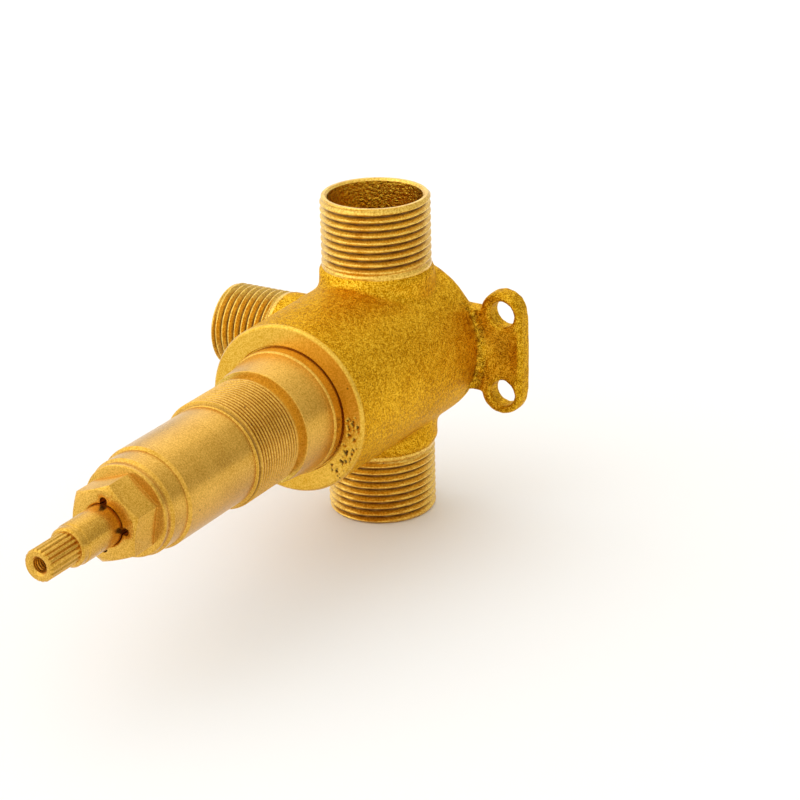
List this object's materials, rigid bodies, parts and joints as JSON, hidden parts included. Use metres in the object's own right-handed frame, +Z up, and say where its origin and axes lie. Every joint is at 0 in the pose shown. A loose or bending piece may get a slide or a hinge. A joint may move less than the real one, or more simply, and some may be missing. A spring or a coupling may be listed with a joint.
{
  "type": "in-line stop valve",
  "caption": "Brass in-wall stop valve: cast body with in-line threaded ports, a side outlet and a fixing ear, a long turned sleeve and a splined spindle that turns its discs.",
  "frame": {"origin": "where the spindle's axis meets the flat back of the body, the face that goes to the wall", "axes": "+Z up along the in-line ports, the spindle points to -Y, away from the wall, and the ear lies on +X"},
  "size_m": [0.0757, 0.1496, 0.0804],
  "materials": {
    "cast_brass": "sand-cast, matt",
    "turned_brass": "turned, satin",
    "black_rubber": "matt",
    "white_ceramic": "lapped",
    "white_plastic": "matt"
  },
  "bodies": {
    "housing": {"valve_body": "cast_brass", "seat_seal": "black_rubber", "fixed_disc": "white_ceramic", "disc_cage": "turned_brass", "thrust_washer": "white_plastic", "bonnet_sleeve": "turned_brass", "bonnet_o_ring": "black_rubber", "gland_washer": "turned_brass", "gland_bush": "turned_brass"},
    "stem": {"spindle": "turned_brass", "spindle_o_ring_back": "black_rubber", "spindle_o_ring_front": "black_rubber", "moving_disc": "white_ceramic"}
  },
  "joints": [
    {"name": "spindle_turn", "type": "hinge", "parent": "housing", "child": "stem", "pos_m": [0, -0.1, 0], "axis": [0, -1, 0], "range_deg": [0, 90]}
  ]
}
